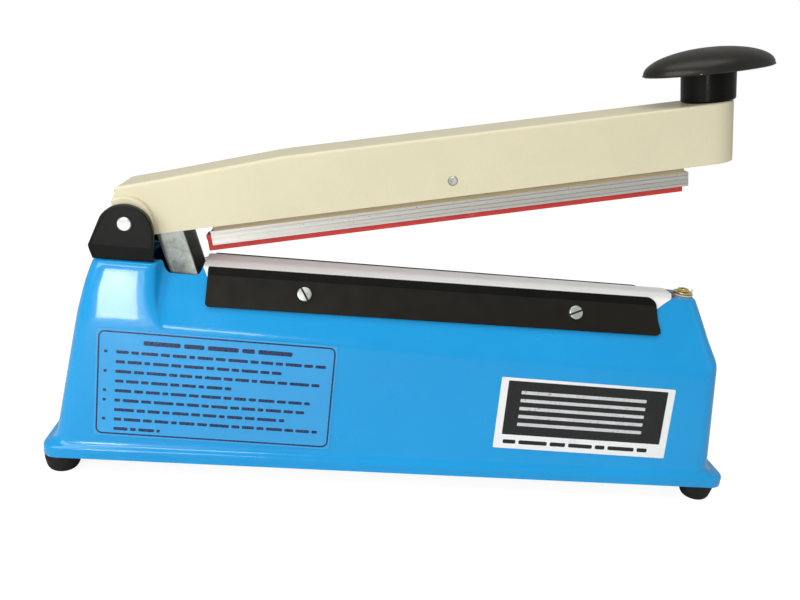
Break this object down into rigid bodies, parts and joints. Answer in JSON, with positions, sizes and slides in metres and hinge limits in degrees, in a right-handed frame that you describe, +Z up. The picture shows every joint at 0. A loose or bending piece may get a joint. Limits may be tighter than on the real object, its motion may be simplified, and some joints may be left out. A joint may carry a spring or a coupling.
{
  "type": "impulse heat sealer",
  "caption": "Hand-operated bar sealer: a hinged press arm with a knob closes a rubber-faced bar on a heated ribbon along the ridge of a box-shaped body.",
  "frame": {"origin": "centre of the underside of the bottom plate, on the level of the body flange's lower edge", "axes": "+X along the sealing line from the hinge towards the knob, -Y towards the operator, +Z up"},
  "size_m": [0.446, 0.1007, 0.2946],
  "materials": {
    "body_paint": "glossy light blue enamel",
    "arm_paint": "cream enamel with a fine orange-peel",
    "saddle_plastic": "satin black moulding",
    "knob_plastic": "worn black phenolic, satin to glossy",
    "black_plate": "semi-gloss black paint on folded sheet",
    "rubber_black": "matt black rubber",
    "silicone": "smooth red silicone",
    "aluminium": "drawn extrusion with lengthwise lines",
    "zinc_plate": "bright zinc plating",
    "plain_steel": "plain sheet steel",
    "brass": "pale nickel-toned brass",
    "nichrome": "rolled resistance ribbon",
    "ptfe_cloth": "white coated glass cloth, satin",
    "insulator": "brown laminate",
    "board": "green circuit board",
    "copper_winding": "varnished copper winding",
    "lead_sleeve": "white woven glass sleeving",
    "matte_plastic": "black moulding",
    "lamp": "red translucent lens",
    "label_film": "thin printed film"
  },
  "bodies": {
    "base": {"body_shell": "body_paint", "bottom_plate": "plain_steel", "hinge_saddle": "saddle_plastic", "pivot_pin": "zinc_plate", "insulating_strip": "insulator", "heating_element": "nichrome", "ptfe_cloth": "ptfe_cloth", "clamp_plate_front": "black_plate", "clamp_plate_rear": "black_plate", "terminal_bush": "insulator", "terminal_washer": "brass", "terminal_screw_right": "brass", "terminal_block_left": "insulator", "return_spring": "plain_steel", "spring_anchor": "plain_steel", "micro_switch": "matte_plastic", "switch_bracket": "plain_steel", "transformer_core": "plain_steel", "transformer_coil": "copper_winding", "transformer_strap": "zinc_plate", "transformer_screw_left": "zinc_plate", "transformer_screw_right": "zinc_plate", "lead_left": "lead_sleeve", "lead_right": "lead_sleeve", "circuit_board": "board", "potentiometer": "plain_steel", "dial_plate": "aluminium", "signal_lamp": "lamp", "fuse_holder": "matte_plastic", "cord_grommet": "rubber_black", "relay": "matte_plastic", "buzzer": "matte_plastic", "instruction_label": "label_film", "name_label": "label_film", "foot_front_left": "rubber_black", "foot_screw_front_left": "zinc_plate", "clamp_screw_front_left": "zinc_plate", "foot_front_right": "rubber_black", "foot_screw_front_right": "zinc_plate", "clamp_screw_front_right": "zinc_plate", "foot_rear_left": "rubber_black", "foot_screw_rear_left": "zinc_plate", "clamp_screw_rear_left": "zinc_plate", "foot_rear_right": "rubber_black", "foot_screw_rear_right": "zinc_plate", "clamp_screw_rear_right": "zinc_plate", "saddle_screw_front": "zinc_plate", "saddle_screw_rear": "zinc_plate"},
    "arm": {"press_arm": "arm_paint", "link_bracket": "zinc_plate", "knob_stem": "knob_plastic", "knob_cap": "knob_plastic", "knob_bolt": "zinc_plate", "rocker_pin": "zinc_plate"},
    "press_bar_body": {"bar_holder": "arm_paint", "press_bar": "aluminium", "rubber_strip": "silicone"},
    "lever": {"switch_lever": "plain_steel"},
    "timer": {"timer_knob": "matte_plastic", "timer_shaft": "plain_steel"}
  },
  "joints": [
    {"name": "arm_hinge", "type": "hinge", "parent": "base", "child": "arm", "pos_m": [-0.175, 0, 0.147], "axis": [0, 1, 0], "range_deg": [0, 10.6], "stiffness_Nm_per_rad": 4, "springref_deg": -51.57, "deforming": ["return_spring"]},
    {"name": "press_bar_rock", "type": "hinge", "parent": "arm", "child": "press_bar_body", "pos_m": [0.01688, 0, 0.18748], "axis": [0, 1, 0], "range_deg": [-0.2, 1.6]},
    {"name": "switch_lever_press", "type": "hinge", "parent": "base", "child": "lever", "pos_m": [-0.156, 0, 0.0425], "axis": [0, 1, 0], "range_deg": [-5.5, 0.2]},
    {"name": "timer_knob_turn", "type": "hinge", "parent": "base", "child": "timer", "pos_m": [-0.07, 0.03934, 0.04], "axis": [0, 0.9936, 0.1132], "range_deg": [0, 270]}
  ],
  "couplings": [
    {"joint": "press_bar_rock", "follows": "arm_hinge", "ratio": 0.13208},
    {"joint": "switch_lever_press", "follows": "arm_hinge", "ratio": -0.4717}
  ]
}
